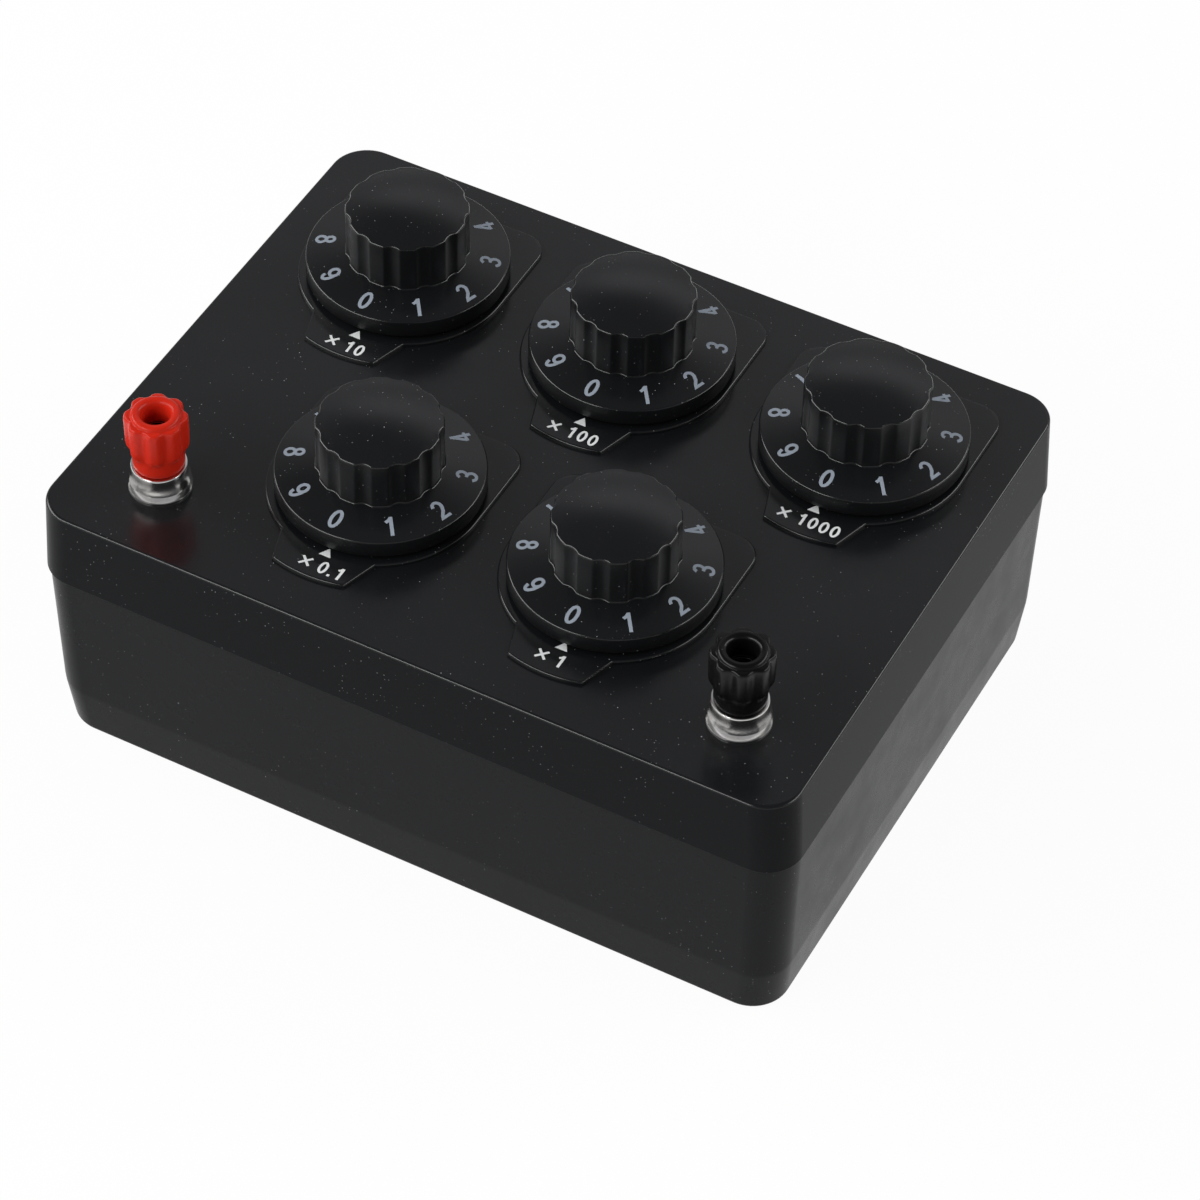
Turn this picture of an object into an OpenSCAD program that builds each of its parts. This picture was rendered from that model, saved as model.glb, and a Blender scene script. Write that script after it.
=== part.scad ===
// Decade resistance box: a two-part moulded case with five decade switches and two binding posts.
// Millimetres, +Z up, +X to the right along the long front edge. The origin is the middle of the
// footprint on the table. Heights named *_z are absolute, the others are sizes.

/* [Case] */
// Width of the case at the parting line
case_w = 137; // [132:0.5:146]
// Depth of the case at the parting line
case_d = 102.7; // [100:0.5:112]
// Height of the base, from the table to the parting line
base_h = 36.3; // [33:0.1:44]
// Height of the cover, from the parting line to its top face
cover_h = 15; // [13:0.1:20]
// Radius of the upright corners
corner_r = 6.4; // [5:0.1:8]
// Thickness of the upright walls
wall_t = 2.2; // [1.8:0.1:2.8]
// Thickness of the cover's top
cover_t = 2.4; // [2:0.1:3]
// Thickness of the base's floor
floor_t = 2.4; // [2:0.1:3.5]
// Draft of the cover's short sides
cover_draft_x = 0.8; // [0.2:0.1:1.6]
// Draft of the cover's long sides
cover_draft_y = 0.1; // [0:0.1:1.6]
// Rounding of the cover's top edge
cover_round = 0.5; // [0.3:0.1:1]
// Ledge where the base steps in under the cover
base_ledge = 0.35; // [0.1:0.05:0.8]
// Draft of the base's upper wall
base_draft = 0.45; // [0.2:0.05:1.2]
// Height of the crease where the base's wall turns in
crease_h = 9.7; // [6:0.1:14]
// Draft of the base's wall below the crease
crease_draft = 0.8; // [0.3:0.1:2]
// Rounding of the base's bottom edge
foot_round = 1; // [0.5:0.1:2]

/* [Case joint] */
// Height of the tongue on the base that enters the cover
tongue_h = 2; // [1:0.1:4]
// Thickness of the tongue
tongue_t = 1.1; // [0.8:0.1:1.6]
// How far the tongue runs down inside the base wall
tongue_root = 4; // [2:0.5:8]
// Distance of the case screws from the end walls
screw_in_x = 9.2; // [8:0.1:11]
// Distance of the case screws from the long walls
screw_in_y = 8; // [8:0.1:11]
// Radius of a pillar in the cover
cover_pillar_r = 3.6; // [3:0.1:4.2]
// Radius of a pillar in the base
base_pillar_r = 4.4; // [4.2:0.1:5]
// Radius of a case screw's shank
screw_r = 1.45; // [1.2:0.05:1.7]
// Radius of a case screw's head
screw_head_r = 2.7; // [2.3:0.1:2.9]
// Height of a case screw's head
screw_head_h = 2; // [1.5:0.1:3]
// Height of the seat under the screw's head
screw_seat_h = 18; // [10:0.5:24]
// Length of the screw inside the cover's pillar
screw_bite = 8; // [5:0.5:9]

/* [Layout] */
// Pitch of the three dials in the back row
dial_pitch = 42.75; // [41:0.25:44]
// Distance of the back row behind the middle
back_row_y = 26.35; // [24:0.05:28]
// Distance of the front row before the middle
front_row_y = 19.75; // [18:0.05:22]
// Offset of all five dials to the right of the middle
dial_off_x = 0.45; // [-1:0.05:1]
// Distance of the binding posts from the short sides
post_in_x = 16.1; // [14.5:0.1:18.5]
// Distance of the binding posts from the front
post_in_y = 15.05; // [14.35:0.05:17.35]

/* [Dial plate] */
// Thickness of a dial plate
plate_t = 0.7; // [0.5:0.1:1.5]
// Radius of the plate's round front, and half its width
plate_r = 18.2; // [17.6:0.1:18.6]
// Reach of the plate behind the dial's centre
plate_back = 18.1; // [15:0.1:18.6]
// Radius of the plate's two back corners
plate_corner_r = 4.5; // [2:0.1:7]
// Half width of the front tab at its root
tab_root_w = 9; // [7:0.1:10]
// Half width of the front tab at its end
tab_end_w = 6.3; // [5.5:0.1:7]
// Reach of the front tab, as the radius of its rounded end
tab_reach = 23.25; // [22:0.05:25]
// Offset of the plate's outline from the dial's axis, to the left
plate_off_x = 0.45; // [0:0.05:1]
// Offset of the plate's outline from the dial's axis, to the front
plate_off_y = 0.25; // [0:0.05:1]
// Radius of the plate's locating peg
peg_r = 1.2; // [0.8:0.1:1.6]
// Distance of the locating peg behind the dial's centre
peg_y = 13; // [10:0.5:14.5]

/* [Knob] */
// Radius of the numbered skirt
skirt_r = 17.25; // [16:0.05:17.4]
// Height of the skirt's rim
skirt_h = 3.2; // [2.4:0.1:4]
// Rise of the skirt's face from its rim to the grip
skirt_rise = 1.2; // [0.4:0.1:1.5]
// Bevel at the skirt's rim
skirt_bevel = 0.3; // [0.1:0.05:0.6]
// Gap between the dial plate and the skirt
skirt_gap = 0.9; // [0.4:0.1:1.4]
// Width of the skirt's rim wall
skirt_wall = 1.4; // [1:0.1:2.5]
// Radius of the grip over its lobes
grip_r = 10.4; // [9.8:0.05:11]
// Height of the grip's rim above the skirt's face
grip_h = 8.7; // [7.5:0.1:11]
// Rise of the domed top above the grip's rim
dome_h = 1.6; // [1:0.1:2.4]
// Bevel where the dome meets the grip's side
rim_bevel = 0.3; // [0.1:0.05:0.6]
// Number of lobes on the grip
lobes = 12; // [8:1:16]
// Radius of a notch between two lobes
notch_r = 2.8; // [1.5:0.1:3.5]
// Depth of a notch
notch_depth = 0.42; // [0.2:0.02:0.8]

/* [Switch] */
// Radius of the shaft
shaft_r = 3; // [2.5:0.1:3.2]
// Depth of the flat on the shaft's ends
shaft_flat = 0.8; // [0.4:0.1:1.2]
// Length of the shaft's end inside the knob's grip
shaft_grip = 6.6; // [4:0.1:7.5]
// Radius of the threaded bush
bush_r = 4.2; // [3.8:0.1:4.6]
// Radius of the bush's flange
bush_flange_r = 6.6; // [6:0.1:8]
// Thickness of the bush's flange
bush_flange_t = 1.5; // [1:0.1:2.5]
// Thickness of the washer under the bush's nut
washer_t = 0.5; // [0.3:0.1:0.8]
// Radius of the washer under the bush's nut
washer_r = 6.3; // [5.8:0.1:6.8]
// Thickness of the bush's nut
nut_t = 1.9; // [1.5:0.1:2.2]
// Corner radius of the bush's nut
nut_r = 6.3; // [5.8:0.1:6.8]
// Outer radius of the switch body
body_r = 15.6; // [15.2:0.1:17]
// Height of the switch body
body_h = 12; // [11:0.1:15]
// Thickness of the switch body's top
body_top = 2; // [1.5:0.1:3]
// Thickness of the switch body's wall
body_wall = 1.6; // [1.2:0.1:1.9]
// Thickness of the contact wafer
wafer_t = 1.6; // [1.2:0.1:2.4]
// Width of the ledge that the contact wafer sits on
wafer_ledge = 0.7; // [0.4:0.1:1]
// Number of switch positions
positions = 10; // [8:1:10]
// Radius of the circle of contact studs
stud_ring_r = 11; // [10.5:0.1:11.5]
// Radius of a contact stud's head
stud_head_r = 1.7; // [1.3:0.1:1.8]
// Height of a contact stud's head
stud_head_h = 0.8; // [0.5:0.1:1.2]
// Radius of a contact stud's tail
stud_tail_r = 0.8; // [0.6:0.1:1]
// Length of a contact stud's tail below the wafer
stud_tail_h = 3; // [2.5:0.1:4]
// Middle radius of the common contact ring
common_r = 5.6; // [5:0.1:6]
// Width of the common contact ring
common_w = 1.6; // [1:0.1:2]
// Radius of the rotor's hub
hub_r = 6.2; // [5:0.1:7]
// Height of the rotor's hub
hub_h = 3.8; // [3:0.1:4.2]
// Width of the wiper's blade
wiper_w = 3; // [2:0.1:3.4]
// Thickness of the wiper's blade
wiper_t = 0.4; // [0.3:0.05:0.6]

/* [Resistors] */
// Radius of a resistor
resistor_r = 1.2; // [0.9:0.05:1.3]
// Length of a resistor's body
resistor_l = 4; // [3:0.1:4.2]
// Radius of a resistor's lead
lead_r = 0.3; // [0.2:0.05:0.4]

/* [Binding post] */
// Radius of the collar's foot ring
collar_r = 5; // [4.8:0.1:6]
// Height of the collar's foot ring
collar_foot_h = 1.7; // [1:0.1:2.2]
// Height of the whole collar
collar_h = 4.8; // [4:0.1:6]
// Narrowing of the collar's waist
collar_waist = 0.5; // [0.2:0.05:0.7]
// Radius of the threaded stud
post_stud_r = 2.8; // [2.7:0.05:3]
// Radius of the socket for a 4 mm plug
socket_r = 2.05; // [2:0.01:2.1]
// Depth of the socket
socket_depth = 12; // [10:0.5:16]
// Reach of the stud above the collar
stud_rise = 6.8; // [6:0.1:7]
// Reach of the stud below the cover's top
stud_tail = 8; // [7.5:0.1:10]
// Radius of the shoulder that holds the collar down
shoulder_r = 3.7; // [3.4:0.05:3.9]
// Thickness of the shoulder
shoulder_t = 1.5; // [1:0.1:2]
// Radius of the cap's smooth lower part
cap_r = 4.25; // [4.2:0.05:4.6]
// Height of the cap's smooth lower part
cap_plain_h = 2.2; // [1.5:0.1:3]
// Radius of the cap over its lobes
cap_lobe_r = 5.2; // [4.9:0.05:5.6]
// Height of the cap up to its shoulder
cap_h = 10; // [9.5:0.1:12]
// Number of lobes on the cap
cap_lobes = 8; // [6:1:10]
// Angle at which the caps were left in the photograph
cap_turn = 27; // [0:1:45]
// Radius of a notch in the cap
cap_notch_r = 1.2; // [0.8:0.1:1.4]
// Depth of a notch in the cap
cap_notch_depth = 0.75; // [0.4:0.05:0.9]
// Height of the raised ring round the cap's mouth
cap_ring_h = 0.9; // [0.5:0.1:1.4]
// Radius of the raised ring round the cap's mouth
cap_ring_r = 3.9; // [3.6:0.1:4.1]
// Radius of the cap's mouth
mouth_r = 2.4; // [2.3:0.05:2.5]
// Thickness of the threaded insert's wall
insert_wall = 0.6; // [0.5:0.05:0.65]
// Height of the threaded insert
insert_h = 5.8; // [5:0.1:6]
// Height of the lip that holds the insert in the cap
insert_lip = 0.7; // [0.5:0.1:1]
// Thickness of the solder tag under a post
tag_t = 0.6; // [0.4:0.1:1]
// Reach of the solder tag's ear
tag_reach = 9; // [8:0.5:12]
// Thickness of a post's nut
post_nut_t = 2.6; // [2:0.1:3]
// Corner radius of a post's nut
post_nut_r = 4.9; // [4.4:0.1:5.4]

/* [Wiring] */
// Radius of the hook-up wire
wire_r = 0.7; // [0.5:0.05:0.9]
// Height at which the wires cross the case
wire_z = 27; // [22:0.5:29]

/* [Fits] */
// Gap between the tongue and the cover
tongue_gap = 0.15; // [0.05:0.05:0.3]
// Radial clearance of the shaft in its bush
shaft_clear = 0.04; // [0.02:0.01:0.1]
// Radial clearance of parts that are pushed on to the shaft
push_clear = 0.02; // [0.01:0.01:0.05]
// Radial clearance of threaded parts and their holes
hole_clear = 0.1; // [0.05:0.05:0.2]
// Radial clearance of the turning parts of a binding post
turn_clear = 0.05; // [0.03:0.01:0.1]
// End play between parts that turn past each other
end_play = 0.25; // [0.15:0.05:0.35]

/* [Hidden] */
$fn = 64;
corner_steps = 10;
wire_sides = 8;
over = 1;
cover_z = base_h + cover_h;
under_z = cover_z - cover_t;
plate_z = cover_z + plate_t;
tab_root_y = sqrt(plate_r*plate_r - tab_root_w*tab_root_w) - over;
skirt_z = plate_z + skirt_gap;
face_z = skirt_z + skirt_h;
grip_z = face_z + skirt_rise;
rim_z = grip_z + grip_h;
knob_z = rim_z + dome_h;
nut_z = plate_z + washer_t;
bush_z = nut_z + nut_t;
cavity_z = bush_z + end_play;
cavity_r = nut_r + 2*hole_clear;
flange_z = under_z - body_top - bush_flange_t;
hub_z = flange_z - end_play;
body_z = under_z - body_h;
wafer_z = body_z + wafer_t;
stud_z = wafer_z + stud_head_h;
tail_z = body_z - stud_tail_h;
shaft_z = hub_z - hub_h;
shaft_end_z = grip_z + shaft_grip;
wafer_r = body_r - body_wall + wafer_ledge;
stud_step = 360/positions;
stud_hole_r = stud_tail_r + hole_clear/2;
collar_z = cover_z + collar_h;
cap_z = collar_z + end_play;
insert_r = post_stud_r + turn_clear + insert_wall;
insert_z = cap_z + insert_lip + turn_clear;
cap_top_z = cap_z + cap_h;
tag_z = under_z - tag_t;
post_nut_z = tag_z - post_nut_t;

DECADES = ["tenths", "units", "tens", "hundreds", "thousands"];
DIAL_AT = [
    [dial_off_x - dial_pitch/2, -front_row_y],
    [dial_off_x + dial_pitch/2, -front_row_y],
    [dial_off_x - dial_pitch, back_row_y],
    [dial_off_x, back_row_y],
    [dial_off_x + dial_pitch, back_row_y]
];
POST_AT = [for (s = [-1, 1]) [s*(case_w/2 - post_in_x), -case_d/2 + post_in_y]];
SCREW_AT = [for (sx = [-1, 1], sy = [-1, 1]) [sx*(case_w/2 - screw_in_x), sy*(case_d/2 - screw_in_y)]];

// Rounded rectangle of half size hx by hy at height z, counter-clockwise seen from above
function ring(hx, hy, r, z) = [
    for (q = [0:3], k = [0:corner_steps])
        let (a = 90*(q + k/corner_steps), sx = (q == 0 || q == 3) ? 1 : -1, sy = q < 2 ? 1 : -1)
            [sx*(hx - r) + r*cos(a), sy*(hy - r) + r*sin(a), z]
];
// Ring of the case, brought in from the parting line's size by ix and iy
function case_ring(ix, iy, z, r = corner_r) = ring(case_w/2 - ix, case_d/2 - iy, r, z);

// Solid lofted through rings that all have as many points
module loft(rings) {
    n = len(rings[0]);
    top = n*(len(rings) - 1);
    sides = [
        for (k = [0:len(rings) - 2], i = [0:n - 1])
            let (j = (i + 1) % n)
                each [[n*k + i, n*k + n + i, n*k + n + j], [n*k + i, n*k + n + j, n*k + j]]
    ];
    ends = [[for (i = [0:n - 1]) i], [for (i = [n - 1:-1:0]) top + i]];
    polyhedron([for (g = rings) each g], concat(ends, sides));
}

// Round wire along points, with each ring of its surface square to the run of the wire
module wire(points, r) {
    last = len(points) - 1;
    rings = [
        for (i = [0:last])
            let (
                run = points[min(i + 1, last)] - points[max(i - 1, 0)],
                t = run/norm(run),
                side = cross(t, abs(t.x) < 0.9 ? [1, 0, 0] : [0, 1, 0]),
                u = side/norm(side),
                v = cross(t, u)
            )
                [for (k = [0:wire_sides - 1]) points[i] + r*(cos(360*k/wire_sides)*u + sin(360*k/wire_sides)*v)]
    ];
    loft(rings);
}

// Cylinder between two heights at a place seen from above
module post(at, z0, z1, r) {
    translate([at.x, at.y, z0]) cylinder(r = r, h = z1 - z0);
}

// Shaft section with a flat, grown by a clearance
module shaft_end(z0, z1, grow) {
    intersection() {
        translate([0, 0, z0]) cylinder(r = shaft_r + grow, h = z1 - z0);
        translate([-2*shaft_r, -shaft_r + shaft_flat - grow, z0]) cube([4*shaft_r, 3*shaft_r, z1 - z0]);
    }
}

// Cover: drafted shell with a rounded top edge, pillars for the screws and holes for all that it carries
module top_cover() {
    dx = cover_draft_x;
    dy = cover_draft_y;
    q = cover_round;
    outer = [
        case_ring(0, 0, base_h),
        for (a = [0:30:90]) case_ring(dx + q*(1 - cos(a)), dy + q*(1 - cos(a)), cover_z - q*(1 - sin(a)))
    ];
    inner = [
        case_ring(wall_t, wall_t, base_h - over, corner_r - wall_t),
        case_ring(wall_t, wall_t, base_h, corner_r - wall_t),
        case_ring(wall_t + dx, wall_t + dy, under_z, corner_r - wall_t)
    ];
    color("#232425") difference() {
        union() {
            difference() {
                loft(outer);
                loft(inner);
            }
            for (at = SCREW_AT) post(at, base_h, under_z + cover_t/2, cover_pillar_r);
        }
        for (at = SCREW_AT) post(at, base_h - over, base_h + screw_bite + end_play, screw_r + turn_clear);
        for (at = DIAL_AT) post(at, under_z - over, cover_z + over, bush_r + hole_clear);
        for (at = DIAL_AT) post([at.x, at.y + peg_y], cover_z - cover_t/2, cover_z + over, peg_r + hole_clear);
        for (at = POST_AT) post(at, under_z - over, cover_z + over, post_stud_r + hole_clear);
    }
}

// Base: open tray with a creased wall, a tongue that locates the cover and sunk pillars for the screws
module base_shell() {
    in0 = base_ledge;
    in1 = in0 + base_draft;
    in2 = in1 + crease_draft;
    outer = [
        for (a = [90:-30:0])
            case_ring(in2 + foot_round*(1 - cos(a)), in2 + foot_round*(1 - cos(a)), foot_round*(1 - sin(a))),
        case_ring(in1, in1, crease_h),
        case_ring(in0, in0, base_h)
    ];
    inner_r = corner_r - wall_t;
    inner = [
        case_ring(in2 + wall_t, in2 + wall_t, floor_t, inner_r),
        case_ring(in1 + wall_t, in1 + wall_t, crease_h, inner_r),
        case_ring(in0 + wall_t, in0 + wall_t, base_h, inner_r),
        case_ring(in0 + wall_t, in0 + wall_t, base_h + over, inner_r)
    ];
    tongue_in = wall_t + tongue_gap + max(cover_draft_x, cover_draft_y)*tongue_h/(cover_h - cover_t);
    tongue_out = [
        for (z = [base_h - tongue_root, base_h + tongue_h])
            case_ring(tongue_in, tongue_in, z, inner_r)
    ];
    tongue_core = [
        for (z = [base_h - tongue_root - over, base_h + tongue_h + over])
            case_ring(tongue_in + tongue_t, tongue_in + tongue_t, z, inner_r)
    ];
    color("#202122") difference() {
        union() {
            difference() {
                loft(outer);
                loft(inner);
            }
            difference() {
                loft(tongue_out);
                loft(tongue_core);
            }
            for (at = SCREW_AT) post(at, floor_t/2, base_h, base_pillar_r);
        }
        for (at = SCREW_AT) post(at, -over, screw_seat_h, screw_head_r + 3*hole_clear);
        for (at = SCREW_AT) post(at, 0, base_h + over, screw_r + 2*hole_clear);
    }
}

// Pan head screws that close the case from below
module case_screws() {
    color("#8d9196") for (at = SCREW_AT) {
        post(at, screw_seat_h - screw_head_h, screw_seat_h, screw_head_r);
        post(at, screw_seat_h, base_h + screw_bite, screw_r);
    }
}

// Outline of a dial plate: round front, straight sides, soft back corners and a tapered tab
module plate_outline() {
    circle(r = plate_r);
    difference() {
        translate([-plate_r, 0]) square([2*plate_r, plate_back]);
        for (s = [-1, 1]) translate([s*(plate_r - plate_corner_r), plate_back - plate_corner_r]) difference() {
            translate([s > 0 ? 0 : -plate_corner_r - over, 0]) square(plate_corner_r + over);
            circle(r = plate_corner_r);
        }
    }
    intersection() {
        circle(r = tab_reach);
        polygon([
            [-tab_root_w, -tab_root_y], [-tab_end_w, -tab_reach],
            [tab_end_w, -tab_reach], [tab_root_w, -tab_root_y]
        ]);
    }
}

// Plate under one knob, a little off its axis, with a hole for the bush and a peg that keeps it square
module dial_plate(i) {
    color("#1f2021") translate([DIAL_AT[i].x, DIAL_AT[i].y, 0]) {
        translate([0, 0, cover_z]) linear_extrude(plate_t) difference() {
            translate([-plate_off_x, -plate_off_y]) plate_outline();
            circle(r = bush_r + hole_clear);
        }
        post([0, peg_y], cover_z - cover_t/2 + end_play, cover_z + plate_t/2, peg_r);
    }
}

// Knob: fluted grip with a domed top on a hollow numbered skirt
module knob(i) {
    dome_r = (grip_r*grip_r + dome_h*dome_h)/(2*dome_h);
    inner_r = skirt_r - skirt_wall;
    color("#1b1c1d") translate([DIAL_AT[i].x, DIAL_AT[i].y, 0]) difference() {
        union() {
            rotate_extrude() polygon([
                [0, skirt_z], [skirt_r, skirt_z],
                [skirt_r, face_z - skirt_bevel], [skirt_r - skirt_bevel, face_z],
                [grip_r - notch_depth - skirt_bevel, grip_z], [0, grip_z]
            ]);
            difference() {
                intersection() {
                    rotate_extrude() polygon([
                        [0, face_z], [grip_r, face_z], [grip_r, rim_z - rim_bevel],
                        [grip_r - dome_h - rim_bevel, knob_z], [0, knob_z]
                    ]);
                    translate([0, 0, knob_z - dome_r]) sphere(r = dome_r);
                }
                for (k = [0:lobes - 1]) rotate((k + 0.5)*360/lobes)
                    translate([grip_r + notch_r - notch_depth, 0, skirt_z]) cylinder(r = notch_r, h = knob_z);
            }
        }
        translate([0, 0, skirt_z - over]) cylinder(r = cavity_r, h = cavity_z - skirt_z + over);
        translate([0, 0, skirt_z - over]) difference() {
            cylinder(r = inner_r, h = skirt_h/2 + over);
            cylinder(r = cavity_r + skirt_wall, h = skirt_h/2 + over);
        }
        shaft_end(cavity_z - over, shaft_end_z + end_play, push_clear);
    }
}

// Shaft with a flat at each end for the knob and the rotor
module switch_shaft(i) {
    color("#c9a95b") translate([DIAL_AT[i].x, DIAL_AT[i].y, 0]) {
        shaft_end(shaft_z, hub_z, 0);
        translate([0, 0, hub_z]) cylinder(r = shaft_r, h = cavity_z - hub_z);
        shaft_end(cavity_z, shaft_end_z, 0);
    }
}

// Flanged bush that carries the shaft and clamps plate, cover and switch body together
module switch_bush(i) {
    color("#b9bcc0") translate([DIAL_AT[i].x, DIAL_AT[i].y, 0]) difference() {
        union() {
            translate([0, 0, flange_z]) cylinder(r = bush_flange_r, h = bush_flange_t);
            translate([0, 0, flange_z]) cylinder(r = bush_r, h = bush_z - flange_z);
        }
        translate([0, 0, flange_z - over]) cylinder(r = shaft_r + shaft_clear, h = bush_z - flange_z + 2*over);
    }
}

// Moulded cup round the contacts, open below, with a ledge for the wafer
module switch_body(i) {
    color("#3a2c22") translate([DIAL_AT[i].x, DIAL_AT[i].y, 0]) difference() {
        translate([0, 0, body_z]) cylinder(r = body_r, h = body_h);
        translate([0, 0, body_z - over]) cylinder(r = body_r - body_wall, h = body_h - body_top + over);
        translate([0, 0, body_z - over]) cylinder(r = wafer_r + push_clear, h = wafer_t + over);
        translate([0, 0, body_z]) cylinder(r = bush_r + hole_clear, h = body_h + over);
    }
}

// Laminate disc that carries the contacts
module contact_wafer(i) {
    color("#7a4a25") translate([DIAL_AT[i].x, DIAL_AT[i].y, 0]) difference() {
        translate([0, 0, body_z]) cylinder(r = wafer_r, h = wafer_t);
        for (k = [0:positions - 1]) rotate(k*stud_step - 90)
            translate([stud_ring_r, 0, body_z - over]) cylinder(r = stud_hole_r, h = wafer_t + 2*over);
        translate([0, common_r, body_z - over]) cylinder(r = stud_hole_r, h = wafer_t + 2*over);
    }
}

// Contact studs and common rings of all five switches
module switch_contacts() {
    color("#c9a95b") for (at = DIAL_AT) translate([at.x, at.y, 0]) {
        for (k = [0:positions - 1]) rotate(k*stud_step - 90) translate([stud_ring_r, 0, 0]) {
            translate([0, 0, wafer_z]) cylinder(r = stud_head_r, h = stud_head_h);
            translate([0, 0, tail_z]) cylinder(r = stud_tail_r, h = wafer_z - tail_z);
        }
        translate([0, 0, wafer_z]) difference() {
            cylinder(r = common_r + common_w/2, h = stud_head_h);
            translate([0, 0, -over]) cylinder(r = common_r - common_w/2, h = stud_head_h + 2*over);
        }
        translate([0, common_r, tail_z]) cylinder(r = stud_tail_r, h = wafer_z - tail_z);
    }
}

// Insulating hub that turns with the shaft
module rotor(i) {
    color("#d8d2c2") translate([DIAL_AT[i].x, DIAL_AT[i].y, 0]) difference() {
        translate([0, 0, shaft_z]) cylinder(r = hub_r, h = hub_h);
        shaft_end(shaft_z - over, hub_z + over, push_clear);
    }
}

// Sprung blade under the hub: one end runs on the studs, the other on the common ring
module wiper(i) {
    touch = stud_z + end_play;
    blade = [
        [-common_r - common_w/2, touch], [-common_r + common_w/2, touch], [-shaft_r, shaft_z - wiper_t],
        [hub_r, shaft_z - wiper_t], [stud_ring_r - stud_head_r, touch], [stud_ring_r + stud_head_r/2, touch],
        [stud_ring_r + stud_head_r/2, touch + wiper_t], [stud_ring_r - stud_head_r, touch + wiper_t],
        [hub_r, shaft_z], [-shaft_r, shaft_z],
        [-common_r + common_w/2, touch + wiper_t], [-common_r - common_w/2, touch + wiper_t]
    ];
    color("#c58b4a") translate([DIAL_AT[i].x, DIAL_AT[i].y, 0]) rotate(-90)
        translate([0, wiper_w/2, 0]) rotate([90, 0, 0]) linear_extrude(wiper_w) polygon(blade);
}

// Resistors of one decade, each soldered between neighbouring studs
module resistors(i) {
    half = stud_ring_r*sin(stud_step/2) - stud_tail_r - shaft_clear;
    mid = stud_ring_r*cos(stud_step/2);
    color("#3d6f8e") translate([DIAL_AT[i].x, DIAL_AT[i].y, (tail_z + body_z)/2])
        for (k = [0:positions - 2]) rotate((k + 0.5)*stud_step - 90) translate([mid, 0, 0]) rotate([90, 0, 0]) {
            translate([0, 0, -resistor_l/2]) cylinder(r = resistor_r, h = resistor_l);
            translate([0, 0, -half]) cylinder(r = lead_r, h = 2*half);
        }
}

// Hexagon nuts that clamp the switches to the cover
module bush_nuts() {
    color("#b9bcc0") for (at = DIAL_AT) translate([at.x, at.y, nut_z]) difference() {
        cylinder(r = nut_r, h = nut_t, $fn = 6);
        translate([0, 0, -over]) cylinder(r = bush_r + turn_clear, h = nut_t + 2*over);
    }
}

// Washers under the hexagon nuts
module bush_washers() {
    color("#c4c7ca") for (at = DIAL_AT) translate([at.x, at.y, plate_z]) difference() {
        cylinder(r = washer_r, h = washer_t);
        translate([0, 0, -over]) cylinder(r = bush_r + hole_clear, h = washer_t + 2*over);
    }
}

// Turned collars on which the binding posts stand: a foot ring and a waisted upper part
module post_collars() {
    waist_r = collar_r - collar_waist;
    lip_r = collar_r - collar_waist/2;
    color("#d5d6d3") for (at = POST_AT) translate([at.x, at.y, cover_z]) difference() {
        rotate_extrude() polygon([
            [post_stud_r + hole_clear, 0], [collar_r, 0], [collar_r, collar_foot_h],
            [waist_r, collar_foot_h + collar_waist], [waist_r, (collar_foot_h + collar_h)/2],
            [lip_r, collar_h - collar_waist/2], [lip_r, collar_h], [post_stud_r + hole_clear, collar_h]
        ]);
        translate([0, 0, collar_h - shoulder_t]) cylinder(r = shoulder_r + turn_clear, h = shoulder_t + over);
    }
}

// Threaded studs with a socket for a 4 mm plug, and a shoulder that holds the collar down
module post_studs() {
    color("#cfc39a") for (at = POST_AT) difference() {
        union() {
            post(at, under_z - stud_tail, collar_z + stud_rise, post_stud_r);
            post(at, collar_z - shoulder_t, collar_z, shoulder_r);
        }
        post(at, collar_z + stud_rise - socket_depth, collar_z + stud_rise + over, socket_r);
    }
}

// Threaded insert inside a cap
module post_insert(i) {
    color("#c9a95b") translate([POST_AT[i].x, POST_AT[i].y, insert_z]) difference() {
        cylinder(r = insert_r, h = insert_h);
        translate([0, 0, -over]) cylinder(r = post_stud_r + turn_clear, h = insert_h + 2*over);
    }
}

// Cap: smooth foot, lobed grip, raised ring round the mouth and a chamber for the insert
module post_cap(i) {
    grow = cap_lobe_r - cap_r;
    chamber_z = insert_z - cap_z - turn_clear;
    color(i == 0 ? "#d8281c" : "#1b1b1c") translate([POST_AT[i].x, POST_AT[i].y, cap_z]) difference() {
        union() {
            difference() {
                rotate_extrude() polygon([
                    [0, 0], [cap_r, 0], [cap_r, cap_plain_h], [cap_lobe_r, cap_plain_h + grow],
                    [cap_lobe_r, cap_h - grow/2], [cap_lobe_r - grow/2, cap_h], [0, cap_h]
                ]);
                for (k = [0:cap_lobes - 1]) rotate(cap_turn + (k + 0.5)*360/cap_lobes)
                    translate([cap_lobe_r + cap_notch_r - cap_notch_depth, 0, cap_plain_h])
                        cylinder(r = cap_notch_r, h = cap_h);
            }
            rotate_extrude() polygon([
                [0, cap_h/2], [cap_ring_r, cap_h/2], [cap_ring_r, cap_h + cap_ring_h/2],
                [cap_ring_r - cap_ring_h/2, cap_h + cap_ring_h], [0, cap_h + cap_ring_h]
            ]);
        }
        translate([0, 0, -over]) cylinder(r = post_stud_r + 3*hole_clear, h = chamber_z + 2*over);
        translate([0, 0, chamber_z]) cylinder(r = insert_r + turn_clear, h = insert_h + 2*turn_clear);
        translate([0, 0, chamber_z]) cylinder(r = mouth_r, h = cap_h + cap_ring_h);
    }
}

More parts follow.
